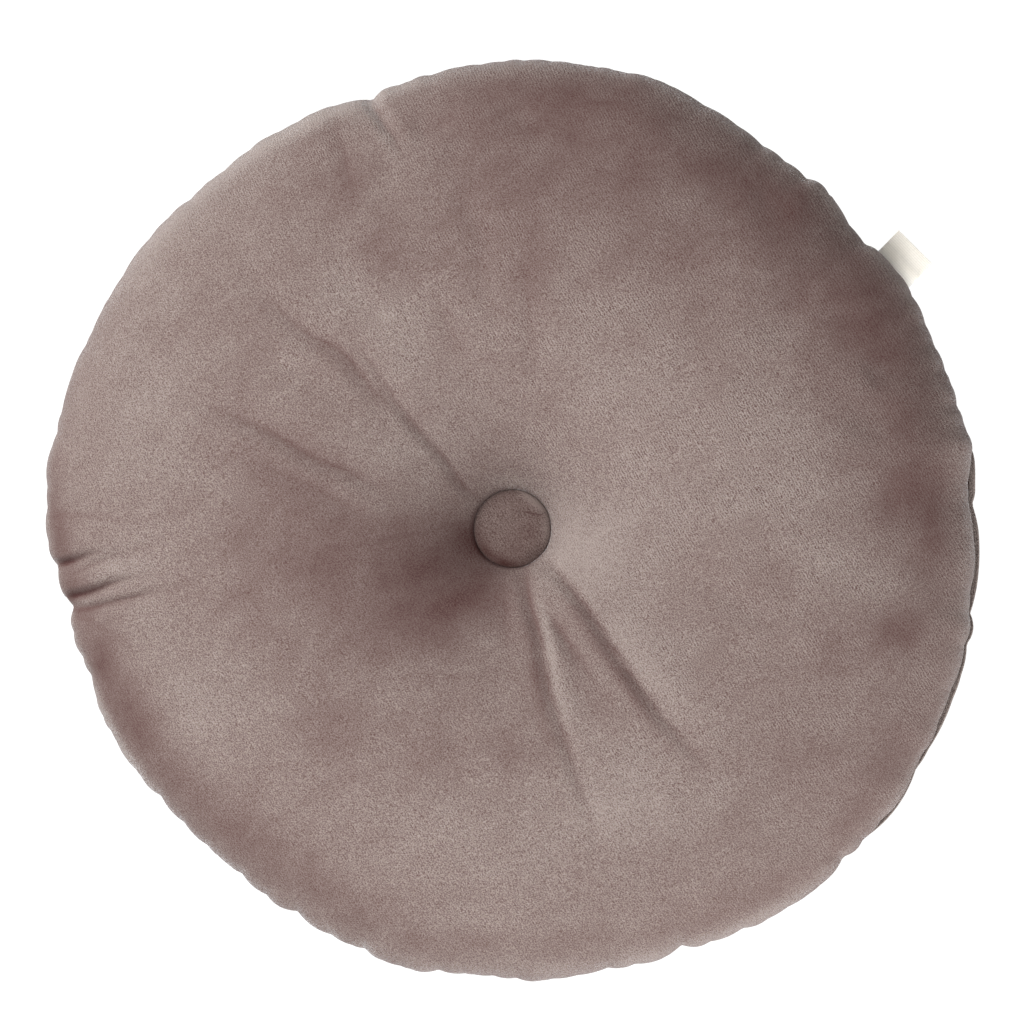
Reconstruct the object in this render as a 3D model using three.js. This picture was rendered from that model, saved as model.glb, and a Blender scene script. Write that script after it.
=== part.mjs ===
// A round velvet cushion that lies on its back, drawn in by a covered button on each face.
// Millimetres, +Z up through the front face, the origin on the floor under the middle.
import * as THREE from 'three';

// Driving sizes of the cushion
const RADIUS = 201;
const CENTRE = { x: 1.5, y: -1.2 };
const SEAM_HEIGHT = 50;
const ROLL = 11;
const GROOVE = 5.4;
const SEAM_BAND = 1.3;
const FULLNESS = 2.6;

// Each face: side is +1 up or -1 down, inset is how far its rolled edge lies inside the outline, crown is
// its swell over that edge, draw and spread are the depth and reach of the button's pull, share is how
// much of the gathers it has, and fine is the reach from which its rings have twice the points
const FRONT = { side: 1, inset: 0, crown: 54, draw: 47, spread: 42, share: 1, rings: 17, fine: 0.3 };
const BACK = { side: -1, inset: 4.2, crown: 51.5, draw: 40.5, spread: 42, share: 0.8, rings: 11, fine: 0.78 };

// The covered buttons and the pits that they sit in
const BUTTON = { x: 2.8, y: -5, radius: 17, skirt: 15.4, height: 10, shoulder: 5.6, roundness: 0.6, flush: 2.4 };
const PIT = { clearance: 0.8, depth: 8, taper: 1.2 };

// Slow waves of the outline: number of waves, size, and the direction of one peak in degrees
const WAVES = [
  { count: 2, size: 4.4, peak: -28.3 },
  { count: 3, size: 1.55, peak: -52 },
  { count: 4, size: 1.55, peak: -16 },
  { count: 5, size: 0.6, peak: 21.3 },
  { count: 6, size: 0.7, peak: 18.3 },
  { count: 8, size: 0.7, peak: -10.2 },
];

// The gathers along the rim: the direction of each crease in degrees, how far out of the waves it lies,
// and how far the cloth bulges between it and the next crease
const GATHERS = [
  { at: 2, out: -4.1, bulge: 0.2 }, { at: 4, out: -3.4, bulge: 0.2 }, { at: 8, out: 0.6, bulge: 0.4 },
  { at: 14, out: -0.8, bulge: 0.6 }, { at: 22, out: -1, bulge: 0.8 }, { at: 28, out: 0.3, bulge: 0.6 },
  { at: 36, out: -0.8, bulge: 0 }, { at: 38, out: -3, bulge: 0.2 }, { at: 42, out: -2.2, bulge: 0.6 },
  { at: 46, out: 1.2, bulge: 0.6 }, { at: 50, out: -1, bulge: 0.6 }, { at: 56, out: -1.4, bulge: 0.5 },
  { at: 62, out: -0.1, bulge: 0 }, { at: 70, out: 0.9, bulge: 0.4 }, { at: 76, out: -0.5, bulge: 0.2 },
  { at: 80, out: -1.1, bulge: 0.4 }, { at: 88, out: -0.3, bulge: 0.5 }, { at: 96, out: 0.4, bulge: 0.2 },
  { at: 100, out: -0.4, bulge: 0.6 }, { at: 104, out: -0.6, bulge: 0.6 }, { at: 108, out: -2.6, bulge: 0.3 },
  { at: 114, out: 0.5, bulge: 0.2 }, { at: 122, out: 0.7, bulge: 0.4 }, { at: 130, out: -0.7, bulge: 0.2 },
  { at: 136, out: -0.8, bulge: 0.6 }, { at: 142, out: 0.4, bulge: 0.6 }, { at: 150, out: -0.3, bulge: 0.1 },
  { at: 158, out: -1.1, bulge: 0.5 }, { at: 168, out: -1, bulge: 0.2 }, { at: 172, out: 1.1, bulge: 0.5 },
  { at: 178, out: 0.9, bulge: 0.8 }, { at: 182, out: 1.5, bulge: 0.8 }, { at: 186, out: -0.7, bulge: 0.2 },
  { at: 190, out: -2.6, bulge: 0 }, { at: 192, out: -1.2, bulge: 0.8 }, { at: 196, out: -0.5, bulge: 0.4 },
  { at: 200, out: -2, bulge: 0.4 }, { at: 204, out: 0.8, bulge: 0.4 }, { at: 210, out: 1.3, bulge: 0.3 },
  { at: 218, out: -1.2, bulge: 0.9 }, { at: 222, out: -0.9, bulge: 0.6 }, { at: 228, out: -0.3, bulge: 0.2 },
  { at: 232, out: -1.1, bulge: 0.9 }, { at: 236, out: -0.2, bulge: 1.4 }, { at: 242, out: -1.4, bulge: 0.9 },
  { at: 246, out: -0.5, bulge: 0.5 }, { at: 250, out: -0.8, bulge: 0 }, { at: 252, out: 0.1, bulge: 0.5 },
  { at: 258, out: 1.6, bulge: 0 }, { at: 260, out: -0.8, bulge: 0.4 }, { at: 266, out: -1.4, bulge: 0.5 },
  { at: 270, out: -0.6, bulge: 0.4 }, { at: 274, out: 1.3, bulge: 0.5 }, { at: 282, out: -0.6, bulge: 0.9 },
  { at: 286, out: 0.2, bulge: 2 }, { at: 292, out: -2.8, bulge: 1.3 }, { at: 296, out: -0.5, bulge: 0.7 },
  { at: 302, out: 0.1, bulge: 0.2 }, { at: 308, out: 0.5, bulge: 0.2 }, { at: 312, out: 0.1, bulge: 0 },
  { at: 314, out: -1.6, bulge: 0 }, { at: 316, out: -0.8, bulge: 0.3 }, { at: 320, out: -1, bulge: 1.5 },
  { at: 328, out: -1.1, bulge: 0.6 }, { at: 338, out: -1.9, bulge: 0.7 }, { at: 344, out: -1.8, bulge: 1.2 },
  { at: 348, out: -2.8, bulge: 0.2 }, { at: 352, out: -3.1, bulge: 0.7 }, { at: 358, out: -2.8, bulge: 0.3 },
];
const GATHER_FADE = 16;

// The folded lip of cloth that stands out of the seam on the right: direction, how far out of the waves
// its edge lies, and its bulge to the next row
const LIP = [
  { at: 316, out: -6, bulge: 0 }, { at: 318, out: -1.6, bulge: 2 }, { at: 328, out: -1.5, bulge: 0.2 },
  { at: 338, out: -0.3, bulge: 0.4 }, { at: 344, out: -1.3, bulge: 1.8 }, { at: 348, out: -2.5, bulge: 0.4 },
  { at: 354, out: -0.9, bulge: 0.2 }, { at: 362, out: -2.6, bulge: 0.4 }, { at: 366, out: 0.6, bulge: 0.4 },
  { at: 370, out: -6, bulge: 0 },
];
const LIP_HALF = 1.1;

// Folds of a face: depth (below 0 it is a ridge), half width to the left and to the right of the way it
// runs, and the points that it runs through
const FRONT_FOLDS = [
  { depth: 3.6, left: 7, right: 6, path: [[17, -17], [37, -37.5], [55.5, -64.5], [71.5, -91.5], [88, -112]] },
  { depth: 3.2, left: 6, right: 7, path: [[8, -23], [17.5, -54], [27.5, -90], [40, -120], [50, -152]] },
  { depth: -1.4, left: 7, right: 7, path: [[16, -26], [31, -76], [45, -118]] },
  { depth: 2.4, left: 6, right: 8, path: [[-13, 6], [-18, 18], [-28, 32], [-43, 52], [-56, 74]] },
  { depth: 1.3, left: 8, right: 8, path: [[-50, 48], [-64, 66], [-84, 95]] },
  { depth: 1.5, left: 8, right: 9, path: [[-54, 12], [-83.5, 27.5], [-105, 40.5], [-132, 50]] },
  { depth: 2, left: 14, right: 10, path: [[-16, -2], [-42, -13], [-71, -21.5], [-132, -32]] },
  { depth: 1.8, left: 6, right: 6, path: [[-195, -36], [-176, -30.5], [-158, -25.5]] },
  { depth: 1.8, left: 6, right: 7, path: [[-64, 186], [-53, 170], [-46, 152]] },
];
const BACK_FOLDS = [
  { depth: 2.4, left: 8, right: 8, path: [[16, 5], [30, 13], [54, 22]] },
  { depth: 2, left: 8, right: 8, path: [[1, 13], [-1, 30], [-2, 58]] },
  { depth: 2.6, left: 9, right: 9, path: [[-15, -2], [-32, 0], [-58, -4]] },
  { depth: 2.2, left: 8, right: 8, path: [[-4, -21], [-12, -36], [-28, -60]] },
  { depth: 2, left: 8, right: 8, path: [[15, -17], [26, -28], [46, -52]] },
];
const FOLD_STEP = 2;

// The ribbon label: where it leaves the seam, the way it points, and its sizes
const LABEL = { at: 33.7, points: 43.2, width: 20.3, length: 16, thickness: 1.2, gap: 0.6 };

const RIM_STEPS = 180;
const DOME_STEPS = 6;
const VELVET = 0x907d77;
const RIBBON = 0xe9e6df;

const radians = (degrees) => degrees * THREE.MathUtils.DEG2RAD;

// The outline's slow waves at a direction in degrees
function smoothRim(angle) {
  const wave = (w) => w.size * Math.cos(radians(w.count * (angle - w.peak)));
  return WAVES.reduce((radius, w) => radius + wave(w), RADIUS);
}

// A line from one row to the next that bulges between them
function scallop(from, to, angle) {
  const along = (angle - from.at) / (to.at - from.at);
  return THREE.MathUtils.lerp(from.out, to.out, along) + from.bulge * 4 * along * (1 - along);
}

// How far out of the waves the gathers lie, so far in from the rolled edge
function gatherOffset(angle, inward) {
  const wrapped = THREE.MathUtils.euclideanModulo(angle - GATHERS[0].at, 360) + GATHERS[0].at;
  const rows = [...GATHERS, { ...GATHERS[0], at: GATHERS[0].at + 360 }];
  const next = rows.findIndex((row) => row.at > wrapped);
  return scallop(rows[next - 1], rows[next], wrapped) * Math.exp(-((inward / GATHER_FADE) ** 2));
}

// The radius of the lip's edge, or nothing where there is no lip
function lipEdge(angle) {
  const wrapped = THREE.MathUtils.euclideanModulo(angle - LIP[0].at, 360) + LIP[0].at;
  const next = LIP.findIndex((row) => row.at > wrapped);
  return next > 0 ? smoothRim(angle) + scallop(LIP[next - 1], LIP[next], wrapped) : 0;
}

// The folds of a face with points at even steps along them
function withPoints(folds) {
  return folds.map((fold) => {
    const curve = new THREE.CatmullRomCurve3(fold.path.map(([x, y]) => new THREE.Vector3(x, y, 0)));
    return { ...fold, points: curve.getSpacedPoints(Math.ceil(curve.getLength() / FOLD_STEP)) };
  });
}

// How deep the folds of a face are at a place
function foldDepth(folds, x, y) {
  let depth = 0;
  for (const { depth: deepest, left, right, points } of folds) {
    const away = points.map((p) => Math.hypot(x - p.x, y - p.y));
    const nearest = away.indexOf(Math.min(...away));
    const before = points[Math.max(nearest - 1, 0)];
    const after = points[Math.min(nearest + 1, points.length - 1)];
    const side = (after.x - before.x) * (y - before.y) - (after.y - before.y) * (x - before.x);
    const along = 0.03 + 0.94 * nearest / (points.length - 1);
    const across = away[nearest] / (side > 0 ? left : right);
    depth += deepest * Math.sin(Math.PI * along ** 0.8) * Math.exp(-across * across);
  }
  return depth;
}

// A point of a face without gathers and folds: reach is 0 at the lip of the pit and 1 on the rolled edge
function faceBase(face, angle, reach) {
  const lip = BUTTON.radius + PIT.clearance;
  const distance = lip + (smoothRim(angle) - face.inset - lip) * reach;
  const swell = face.crown * Math.sqrt(Math.max(0, 1 - reach ** FULLNESS));
  const drawn = face.draw * Math.exp(-(distance - lip) / face.spread);
  return new THREE.Vector3(
    THREE.MathUtils.lerp(BUTTON.x, CENTRE.x, reach) + distance * Math.cos(radians(angle)),
    THREE.MathUtils.lerp(BUTTON.y, CENTRE.y, reach) + distance * Math.sin(radians(angle)),
    SEAM_HEIGHT + face.side * (ROLL + swell - drawn),
  );
}

// The outward normal of a face's base form
function faceNormal(face, angle, reach) {
  const ahead = faceBase(face, angle, Math.min(1, reach + 0.002));
  const outwards = ahead.sub(faceBase(face, angle, Math.max(0, reach - 0.002)));
  const round = faceBase(face, angle + 0.2, reach).sub(faceBase(face, angle - 0.2, reach));
  return outwards.cross(round).normalize().multiplyScalar(face.side);
}

// A finished point of a face: base form, gathers and folds
function facePoint(face, folds, angle, reach) {
  const point = faceBase(face, angle, reach);
  const inward = (1 - reach) * (RADIUS - BUTTON.radius);
  const offset = gatherOffset(angle, inward) * face.share - foldDepth(folds, point.x, point.y);
  point.addScaledVector(faceNormal(face, angle, reach), offset);
  point.z = Math.max(0, point.z);
  return point;
}

// A point round the seam at a radius, so high over it
function rimPoint(angle, radius, height) {
  return new THREE.Vector3(
    CENTRE.x + radius * Math.cos(radians(angle)),
    CENTRE.y + radius * Math.sin(radians(angle)),
    SEAM_HEIGHT + height,
  );
}

const edgeRadius = (angle, share) => smoothRim(angle) + gatherOffset(angle, 0) * share;
const grooveRadius = (angle) => edgeRadius(angle, 1) - GROOVE;

// A ring of points, one for each step round
function ring(steps, pointAt) {
  return Array.from({ length: steps }, (_, i) => pointAt(i * 360 / steps));
}

// Rings of a face from the lip of its pit to its rolled edge, finer towards the edge
function faceRings(face, faceFolds) {
  const folds = withPoints(faceFolds);
  const rings = [];
  for (let i = 0; i <= face.rings; i++) {
    const reach = Math.sin(Math.PI / 2 * (i / face.rings) ** 1.3);
    const steps = reach < 0.12 ? RIM_STEPS / 4 : reach < face.fine ? RIM_STEPS / 2 : RIM_STEPS;
    rings.push(ring(steps, (angle) => facePoint(face, folds, angle, reach)));
  }
  return rings;
}

// The pit under a button, from its floor to just below its lip
function pitRings(face) {
  const lip = SEAM_HEIGHT + face.side * (ROLL + face.crown - face.draw);
  const radius = BUTTON.radius + PIT.clearance - PIT.taper;
  const level = (size, height) => ring(RIM_STEPS / 4, (angle) => new THREE.Vector3(
    BUTTON.x + size * Math.cos(radians(angle)),
    BUTTON.y + size * Math.sin(radians(angle)),
    height,
  ));
  return [
    [new THREE.Vector3(BUTTON.x, BUTTON.y, lip - face.side * PIT.depth)],
    level(radius, lip - face.side * PIT.depth),
    level(radius + PIT.taper / 2, lip - face.side * PIT.depth / 2),
  ];
}

// The roll of a face round its edge into the seam
function curlRings(face) {
  return [30, 60].map((bend) => ring(RIM_STEPS, (angle) => {
    const edge = edgeRadius(angle, face.share) - face.inset;
    const radius = THREE.MathUtils.lerp(grooveRadius(angle), edge, Math.cos(radians(bend)));
    return rimPoint(angle, radius, face.side * (SEAM_BAND + (ROLL - SEAM_BAND) * (1 - Math.sin(radians(bend)))));
  }));
}

// The bottom of the seam's groove, with the lip standing out of it
function seamRings() {
  const base = (height) => ring(RIM_STEPS, (angle) => rimPoint(angle, grooveRadius(angle), height));
  const edge = (height) => ring(RIM_STEPS, (angle) => {
    return rimPoint(angle, Math.max(grooveRadius(angle), lipEdge(angle)), height);
  });
  return [base(SEAM_BAND), edge(LIP_HALF), edge(-LIP_HALF), base(-SEAM_BAND)];
}
// Triangles between two rings, which may have different numbers of points
function addBand(triangles, upper, lower) {
  let i = 0;
  let j = 0;
  while (i < upper.length || j < lower.length) {
    const a = upper[i % upper.length];
    const b = lower[j % lower.length];
    const nextUpper = (i + 1) / upper.length <= (j + 1) / lower.length;
    if (upper.length > 1 && (nextUpper || lower.length === 1) && i < upper.length) {
      i += 1;
      triangles.push(a, b, upper[i % upper.length]);
    } else {
      j += 1;
      triangles.push(a, b, lower[j % lower.length]);
    }
    if (upper.length === 1 && j === lower.length) break;
    if (lower.length === 1 && i === upper.length) break;
  }
}

function cushionGeometry() {
  const rings = [
    ...pitRings(FRONT),
    ...faceRings(FRONT, FRONT_FOLDS),
    ...curlRings(FRONT),
    ...seamRings(),
    ...curlRings(BACK).reverse(),
    ...faceRings(BACK, BACK_FOLDS).reverse(),
    ...pitRings(BACK).reverse(),
  ];
  const triangles = [];
  for (let i = 1; i < rings.length; i++) addBand(triangles, rings[i - 1], rings[i]);
  return new THREE.BufferGeometry().setFromPoints(triangles);
}

// A covered button: a shallow skirt, a round shoulder and a low dome
function buttonGeometry() {
  const { radius, skirt, height, shoulder } = BUTTON;
  const profile = [new THREE.Vector2(0, 0), new THREE.Vector2(skirt, 0)];
  for (let i = 0; i <= DOME_STEPS; i++) {
    const bend = i / DOME_STEPS * Math.PI / 2;
    const rise = (height - shoulder) * Math.sin(bend);
    profile.push(new THREE.Vector2(radius * Math.cos(bend) ** BUTTON.roundness, shoulder + rise));
  }
  return new THREE.LatheGeometry(profile, RIM_STEPS / 5).rotateX(Math.PI / 2);
}

// The ribbon label folded in two, its fold at the far end
function labelGeometry() {
  const half = LABEL.thickness / 2;
  const side = new THREE.Shape();
  side.moveTo(0, -half);
  side.lineTo(LABEL.length - half, -half);
  side.absarc(LABEL.length - half, 0, half, -Math.PI / 2, Math.PI / 2);
  side.lineTo(0, half);
  const geometry = new THREE.ExtrudeGeometry(side, { depth: LABEL.width, bevelEnabled: false, curveSegments: 6 });
  return geometry.translate(0, 0, -LABEL.width / 2).rotateX(Math.PI / 2);
}

function velvet() {
  return new THREE.MeshStandardMaterial({ color: VELVET, roughness: 0.9, metalness: 0 });
}

function ribbon() {
  return new THREE.MeshStandardMaterial({ color: RIBBON, roughness: 0.7, metalness: 0 });
}

function part(name, geometry, material) {
  const mesh = new THREE.Mesh(geometry, material);
  mesh.name = name;
  return mesh;
}

function makeButton(name, face) {
  const button = part(name, buttonGeometry(), velvet());
  const lip = SEAM_HEIGHT + face.side * (ROLL + face.crown - face.draw);
  const seat = lip + face.side * (BUTTON.flush - BUTTON.height);
  button.position.set(BUTTON.x, BUTTON.y, seat);
  if (face.side < 0) button.rotation.x = Math.PI;
  return button;
}

function makeLabel() {
  const label = part('label', labelGeometry(), ribbon());
  label.position.copy(rimPoint(LABEL.at, grooveRadius(LABEL.at) + LABEL.gap, 0));
  label.rotation.z = radians(LABEL.points);
  return label;
}

const group = new THREE.Group();
group.add(
  part('cushion', cushionGeometry(), velvet()),
  makeButton('button_front', FRONT),
  makeButton('button_back', BACK),
  makeLabel(),
);

export default group;
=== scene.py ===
"""A round velvet cushion that lies on its back, seen from above. Z is up, Y is the photo's top.

Blender's objects are in metres. The cushion's own sizes below are in millimetres, as in the part's
source, and MM turns them into metres.
"""
import math

import bpy
import numpy as np
from mathutils import Matrix, Vector
from mathutils.kdtree import KDTree


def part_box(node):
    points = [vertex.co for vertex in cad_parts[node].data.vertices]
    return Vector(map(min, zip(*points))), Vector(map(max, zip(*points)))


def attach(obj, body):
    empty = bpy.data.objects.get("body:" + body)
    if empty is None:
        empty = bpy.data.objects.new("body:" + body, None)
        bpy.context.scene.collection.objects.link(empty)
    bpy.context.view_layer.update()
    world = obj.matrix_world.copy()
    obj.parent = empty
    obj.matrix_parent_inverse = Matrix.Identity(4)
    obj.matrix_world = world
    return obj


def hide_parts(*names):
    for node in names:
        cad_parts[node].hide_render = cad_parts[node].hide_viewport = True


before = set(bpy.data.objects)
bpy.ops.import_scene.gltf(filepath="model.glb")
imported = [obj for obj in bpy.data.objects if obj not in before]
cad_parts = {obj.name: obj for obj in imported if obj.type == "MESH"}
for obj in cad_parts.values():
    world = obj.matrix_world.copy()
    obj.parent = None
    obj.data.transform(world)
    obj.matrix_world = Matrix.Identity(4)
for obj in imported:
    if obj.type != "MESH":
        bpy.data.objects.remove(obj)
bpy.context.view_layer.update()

MM = 0.001

# Driving sizes of the cushion: mean radius and middle of its outline, height of its seam, how far each rolled
# edge stands off the seam, depth and half width of the seam's groove, and how full the crown's section is
RADIUS = 201.0
CENTRE = (1.5, -1.2)
SEAM_HEIGHT = 50.0
ROLL = 11.0
GROOVE = 5.4
SEAM_BAND = 1.3
FULLNESS = 2.6

# Each face: side is +1 up or -1 down, inset is how far its rolled edge lies inside the outline, crown is
# its swell, draw and spread are the depth and reach of the button's pull, share is how much of the rim's
# gathers it has, fine and coarse are the ring spacings of its mesh near the edge and near the middle, and
# thin is how many times fewer points its rings have
FRONT = dict(side=1, inset=0.0, crown=54.0, draw=47.0, spread=42.0, share=1.0, fine=1.6, coarse=2.3, thin=1)
BACK = dict(side=-1, inset=4.2, crown=51.5, draw=40.5, spread=42.0, share=0.8, fine=3.0, coarse=4.4, thin=2)

# The rolled edges turn into the seam through these angles in degrees
CURL_BENDS = (15.0, 30.0, 45.0, 60.0, 75.0)

# The covered buttons: flush is how far the dome stands out of the pit, and inner is the share of the skirt's
# radius where the back has one more ring
BUTTON = dict(radius=17.0, skirt=15.4, height=10.0, shoulder=5.6, roundness=0.6, flush=2.4, inner=0.6)
BUTTON_CENTRE = np.mean(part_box("button_front"), axis=0)[:2] / MM
DOME_STEPS = 48

# The pits that the buttons sit in: taper is how much narrower the floor is, inner is the share of its radius
# where it has one more ring, dip is the dip of the cloth at the lip, and shade is the painted shade
# round the lip, with shade_reach how far out it reaches
PIT = dict(gap=0.15, depth=8.0, taper=0.9, inner=0.5, dip=0.4, dip_reach=1.4, shade=-0.15, shade_reach=0.3)

# Slow waves of the outline: number of waves, size, and the direction of one peak in degrees
WAVES = [(2, 4.4, -28.3), (3, 1.55, -52), (4, 1.55, -16), (5, 0.6, 21.3), (6, 0.7, 18.3), (8, 0.7, -10.2)]

# The gathers along the front's rolled edge: the direction of each crease in degrees, how far out of the
# waves it lies, and how far the cloth bulges between it and the next crease
GATHERS = [
    (2, -4.1, 0.3), (4.2, -3.4, 0.2), (7.6, 0.5, 1.1), (10.3, 0.7, 0.1), (11.7, 0.2, 0.6), (13.8, -0.8, 0.8),
    (16.8, -0.3, 0.5), (18.3, -0.8, 0.8), (21.8, -1, 0.4), (24.8, -0.5, 0.9), (28.7, 0.2, 0.2),
    (29.5, 0.9, 0.5), (32.3, 0.4, 0.3), (36.2, -0.9, 0.2), (37.4, -3.3, 0.3), (40.7, -2.7, 0.3),
    (44.2, 0.3, 0.4), (45.2, 0.4, 1.9), (48.7, -1, 0.9), (52.2, -1, 0.8), (55.7, -1.4, 0.6),
    (59.7, -0.3, 0.6), (64.7, -0.2, 0.2), (68.3, 0.8, 0.2), (69.7, 0.8, 0.3), (71.8, 0.9, 0.6),
    (75.2, -0.4, 0.1), (77, -0.6, 0.5), (79, -1.1, 0.3), (80.5, -1.1, 0.2), (82, -0.9, 0.4),
    (84.7, -0.7, 0.6), (88.3, -0.3, 0.7), (90.8, -0.1, 0.4), (93.8, -0.2, 0.4), (96.2, 0.4, 0.4),
    (99.2, 0, 0.1), (100.3, -0.4, 0.9), (102.8, -0.4, 0.2), (104.5, -0.8, 1.3), (108.4, -2.7, 0.5),
    (113, 0.1, 0.5), (115.7, 0.9, 0.4), (118, 0.3, 0.2), (120.7, 0.2, 0.2), (122.3, 0.7, 0.6),
    (125.2, 0, 0.5), (129.3, -1, 0.2), (131.3, -0.6, 0.4), (133, -0.6, 0.3), (135, -1.1, 0.8),
    (138.5, 0.2, 0.5), (142, 0.4, 0.7), (147.7, -0.1, 0.2), (151, -0.3, 0.3), (152.5, -0.4, 0.2),
    (155.8, -1.1, 0.3), (157.3, -1.2, 0.5), (161.3, -0.4, 0.2), (166.3, -0.9, 0.6), (168.7, -1, 0.2),
    (170.5, 0.4, 1.2), (175.5, 0.9, 0.4), (178, 0.9, 1), (182.2, 1.5, 1.2), (185.2, -0.9, 0.7),
    (189, -0.9, 0.3), (190.7, -3.8, 1.4), (193.7, -1.1, 1.3), (197.2, -1.6, 0.8), (199.7, -2.1, 0.2),
    (202.7, 0, 0.6), (205.2, 0.8, 0.7), (207.2, 0.7, 0.2), (208.7, 1, 0.8), (213.2, 0.6, 0.2),
    (214.2, 0.5, 1.1), (217.7, -1.2, 1.1), (222.3, -0.9, 0.9), (226.5, -0.8, 0.3), (228.3, -0.3, 0.1),
    (230.4, -0.3, 0.4), (232.3, -1.2, 1.2), (236.5, -0.2, 2), (241, -1.9, 1.6), (246.3, -0.5, 0.6),
    (249.2, -0.3, 0.4), (251, -1.4, 0.8), (253.5, 0.8, 0.3), (256, 0.7, 0.2), (257.2, 0.8, 1.2),
    (260.7, -1.6, 0.8), (264.2, -1.6, 0.3), (265.2, -1.4, 0.3), (267.8, -1.4, 0.7), (270.7, -0.4, 0.9),
    (273.8, 1.3, 0.2), (275.2, 0.9, 0.4), (278.2, 0.7, 0.5), (282.3, -0.6, 1), (285.7, 0, 2.2),
    (291.9, -2.9, 1.7), (295.3, -0.7, 0.9), (299.7, -0.9, 0.9), (302.8, 0.3, 0.2), (305.8, 0.1, 0.3),
    (308.8, 0.5, 0.2), (310.3, 0.3, 0.3), (313, -0.3, 0.1), (314.7, -2.4, 1.4), (317.8, -1.5, 0.7),
    (321, -1, 1.4), (327.4, -0.9, 0), (330.4, -1.8, 1), (334.6, -1.8, 0.3), (338.6, -1.9, 0.8),
    (344.5, -1.9, 1.5), (348.4, -2.9, 0.3), (351, -3.4, 0.9), (357.2, -2.7, 0.3),
]
# The gathers are kept in tables with a step in degrees, each blurred by one of these widths in degrees
TABLE_STEP = 0.1
BLURS = (0.12, 0.35, 0.8, 1.6, 3.2)
# How they soften inwards: how much wider they blur for each millimetre, and the reach and the power with
# which the narrow ones and the broad ones fade
BLUR_GROWTH = 0.09
NARROW_FADE = (14.0, 1.5)
BROAD_FADE = (45.0, 2)

# The folded lip of cloth that stands out of the seam on the right: direction, how far out of the waves
# its edge lies, and its bulge to the next row
LIP = [
    (316.0, -6.0, 0.0), (318.5, -1.3, 2.1), (328.3, -1.5, 0.3), (331.0, -0.9, 0.5), (337.8, -0.2, 0.2),
    (341.0, -0.2, 0.5), (344.6, -1.5, 2.0), (348.3, -2.6, 0.3), (353.0, -0.9, 0.2), (358.5, -0.9, 0.2),
    (361.7, -2.8, 0.5), (364.0, -0.5, 0.1), (367.0, 1.0, 0.2), (368.5, 0.6, 0.2), (371.0, -6.0, 0.0),
]
# The lip's half thickness, how far it rises for each millimetre out, and its waves up and down: how high, how
# many round the cushion, and how far out of the groove they have their full height
LIP_HALF = 0.9
LIP_RISE = 0.35
LIP_WAVES = dict(height=0.5, count=14.0, full=3.0)
# The lip's section, out of the groove: share of its width, share of its half thickness, and how light it is
# painted: painted shade where it leaves the groove under the roll, then lighter outwards, partly its own tan
# and partly a painted highlight along its edge
LIP_PROFILE = [
    (0.50, 1.0, -0.5), (0.62, 1.0, -0.5), (0.68, 1.0, 0.3), (0.80, 0.95, 0.5), (0.86, 0.55, 0.3),
    (0.93, 0.95, 0.6), (1.00, 0.45, 0.9), (1.00, -0.45, 0.6), (0.90, -1.0, 0.0), (0.50, -1.0, 0.0),
]

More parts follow.
